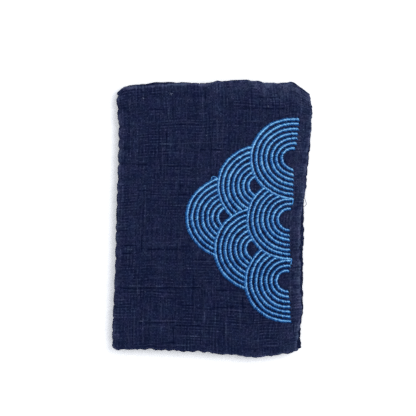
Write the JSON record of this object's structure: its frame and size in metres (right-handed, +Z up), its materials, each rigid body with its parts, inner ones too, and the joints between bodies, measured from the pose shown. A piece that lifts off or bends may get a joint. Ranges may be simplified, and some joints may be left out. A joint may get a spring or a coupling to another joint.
{
  "type": "folded tea towel",
  "caption": "Tea towel of slub cotton gauze, folded to a flat stack with its hemmed end on top, for drying dishes or lining a tray.",
  "frame": {"origin": "middle of the folded towel's outline, on the surface it lies on", "axes": "+Z up from the surface; +X towards the hemmed ends, at the picture's right; +Y towards the creased long edge, at the picture's top"},
  "size_m": [0.1862, 0.2574, 0.0128],
  "materials": {
    "gauze": "matt deep indigo slub cotton gauze",
    "stitching": "lustrous azure embroidery thread"
  },
  "bodies": {
    "root": {"towel": "gauze"}
  },
  "joints": []
}
